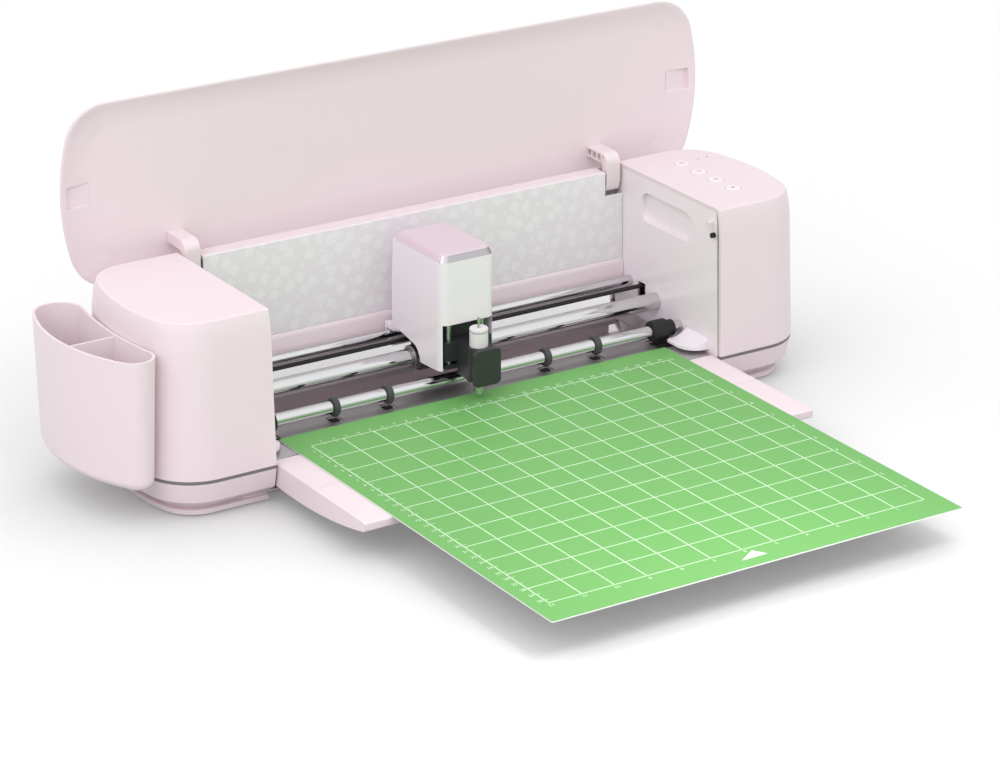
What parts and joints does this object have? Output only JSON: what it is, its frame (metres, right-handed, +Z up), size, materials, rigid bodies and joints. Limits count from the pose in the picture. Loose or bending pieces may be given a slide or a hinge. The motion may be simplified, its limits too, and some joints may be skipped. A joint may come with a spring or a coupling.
{
  "type": "electronic craft cutting machine",
  "caption": "Desktop craft cutter with a raised lid, a belt-driven blade carriage on two rails, feed rollers, a loaded grip mat, round buttons and a side tool cup.",
  "frame": {"origin": "on the table under the middle of the machine, midway between the side plates", "axes": "X to the machine's right as its user sees it, Y to the back, Z up"},
  "size_m": [0.5939, 0.4771, 0.2605],
  "materials": {
    "pink_shell": "fine matt moulding",
    "white_plastic": "satin white",
    "plate_grey": "light grey paint",
    "panel_grey": "light grey with a faint print",
    "bed_metal": "brushed sheet",
    "rail_chrome": "polished",
    "trim_chrome": "plated",
    "belt_rubber": "toothed black rubber",
    "foot_rubber": "soft grey",
    "dark_plastic": "dark grey moulding",
    "accent_dark": "dark grey band",
    "ring_rubber": "dark grey ring",
    "grip_black": "gritted black",
    "motor_steel": "motor can",
    "bush_brass": "plain bush",
    "gear_plastic": "natural moulding",
    "board_green": "circuit board",
    "steel_pin": "ground pin",
    "mat_green": "green printed mat",
    "button_pink": "button cap"
  },
  "bodies": {
    "frame": {"base_pan": "pink_shell", "rubber_feet": "foot_rubber", "left_housing": "pink_shell", "right_housing": "pink_shell", "left_accent": "accent_dark", "right_accent": "accent_dark", "left_side_plate": "plate_grey", "right_side_plate": "plate_grey", "rear_cover": "pink_shell", "rear_panel": "panel_grey", "bed_plate": "bed_metal", "rear_rail": "rail_chrome", "front_rail": "rail_chrome", "drive_belt": "belt_rubber", "carriage_motor": "motor_steel", "idler_bracket": "steel_pin", "feed_motor": "motor_steel", "control_board": "board_green", "power_jack": "dark_plastic", "data_port": "dark_plastic", "left_mat_guide": "white_plastic", "right_mat_guide": "white_plastic", "lid_catches": "pink_shell", "lid_bumpers": "foot_rubber", "hinge_pins": "steel_pin", "front_door": "pink_shell", "door_deck": "pink_shell", "door_pins": "steel_pin"},
    "lid": {"lid_shell": "pink_shell", "left_hinge_arm": "pink_shell", "right_hinge_arm": "pink_shell"},
    "belt_driver": {"motor_pulley": "gear_plastic"},
    "belt_idler": {"idler_pulley": "gear_plastic"},
    "carriage": {"carriage_cover": "white_plastic", "carriage_cap": "pink_shell", "carriage_trim": "trim_chrome", "carriage_frame": "dark_plastic", "carriage_bushes": "bush_brass", "rear_shoe": "white_plastic", "plunge_motor": "motor_steel", "plunge_rods": "steel_pin"},
    "holder": {"tool_holder": "dark_plastic", "clamp_pin": "steel_pin"},
    "lever": {"clamp_lever": "dark_plastic"},
    "blade": {"blade_housing": "white_plastic", "blade_nose": "steel_pin"},
    "plunger": {"blade_plunger": "steel_pin"},
    "mat": {"cutting_mat": "mat_green"},
    "pinch": {"pinch_bar": "rail_chrome", "pinch_rings": "ring_rubber", "pinch_rollers": "grip_black"},
    "feed": {"drive_roller": "steel_pin", "drive_grips": "grip_black", "feed_gear": "gear_plastic"},
    "pinion": {"feed_pinion": "gear_plastic"},
    "button_power": {"power_button": "button_pink"},
    "button_load": {"load_button": "button_pink"},
    "button_pause": {"pause_button": "button_pink"},
    "button_start": {"start_button": "button_pink"},
    "cup": {"tool_cup": "pink_shell"}
  },
  "joints": [
    {"name": "lid_hinge", "type": "hinge", "parent": "frame", "child": "lid", "pos_m": [0, 0.06445, 0.12905], "axis": [1, 0, 0], "range_deg": [0, 90]},
    {"name": "carriage_slide", "type": "slide", "parent": "frame", "child": "carriage", "axis": [1, 0, 0], "range_m": [-0.155, 0.164]},
    {"name": "driver_spin", "type": "hinge", "parent": "frame", "child": "belt_driver", "pos_m": [0.2088, 0.0315, 0.04835], "axis": [0, 1, 0], "range_deg": [-1500, 1500]},
    {"name": "idler_spin", "type": "hinge", "parent": "frame", "child": "belt_idler", "pos_m": [-0.2088, 0.0315, 0.04835], "axis": [0, 1, 0], "range_deg": [-1500, 1500]},
    {"name": "tool_plunge", "type": "slide", "parent": "carriage", "child": "holder", "axis": [0, 0, 1], "range_m": [-0.0027, 0]},
    {"name": "clamp_swing", "type": "hinge", "parent": "holder", "child": "lever", "pos_m": [0.0039, -0.0516, 0.0587], "axis": [0, 0, 1], "range_deg": [0, 80]},
    {"name": "blade_lift", "type": "slide", "parent": "holder", "child": "blade", "axis": [0, 0, 1], "range_m": [0, 0.045]},
    {"name": "plunger_press", "type": "slide", "parent": "blade", "child": "plunger", "axis": [0, 0, 1], "range_m": [-0.003, 0], "stiffness_N_per_m": 200},
    {"name": "mat_feed", "type": "slide", "parent": "frame", "child": "mat", "axis": [0, 1, 0], "range_m": [-0.12, 0.3]},
    {"name": "feed_spin", "type": "hinge", "parent": "frame", "child": "feed", "pos_m": [0, -0.02, 0.0213], "axis": [1, 0, 0], "range_deg": [-2100, 900]},
    {"name": "pinch_spin", "type": "hinge", "parent": "frame", "child": "pinch", "pos_m": [0, -0.02, 0.0394], "axis": [1, 0, 0], "range_deg": [-900, 2150]},
    {"name": "pinion_spin", "type": "hinge", "parent": "frame", "child": "pinion", "pos_m": [0.1963, -0.03498, 0.02995], "axis": [1, 0, 0], "range_deg": [-2100, 5000]},
    {"name": "cup_lift", "type": "slide", "parent": "frame", "child": "cup", "axis": [0, 0, 1], "range_m": [0, 0.06]},
    {"name": "power_press", "type": "slide", "parent": "frame", "child": "button_power", "axis": [0, 0, 1], "range_m": [-0.001, 0], "stiffness_N_per_m": 400},
    {"name": "load_press", "type": "slide", "parent": "frame", "child": "button_load", "axis": [0, 0, 1], "range_m": [-0.001, 0], "stiffness_N_per_m": 400},
    {"name": "pause_press", "type": "slide", "parent": "frame", "child": "button_pause", "axis": [0, 0, 1], "range_m": [-0.001, 0], "stiffness_N_per_m": 400},
    {"name": "start_press", "type": "slide", "parent": "frame", "child": "button_start", "axis": [0, 0, 1], "range_m": [-0.001, 0], "stiffness_N_per_m": 400}
  ],
  "couplings": [
    {"joint": "driver_spin", "follows": "carriage_slide", "rad_per_m": 150.4},
    {"joint": "idler_spin", "follows": "carriage_slide", "rad_per_m": 150.4},
    {"joint": "feed_spin", "follows": "mat_feed", "rad_per_m": -119.05},
    {"joint": "pinch_spin", "follows": "mat_feed", "rad_per_m": 121.95},
    {"joint": "pinion_spin", "follows": "mat_feed", "rad_per_m": 285.72}
  ]
}
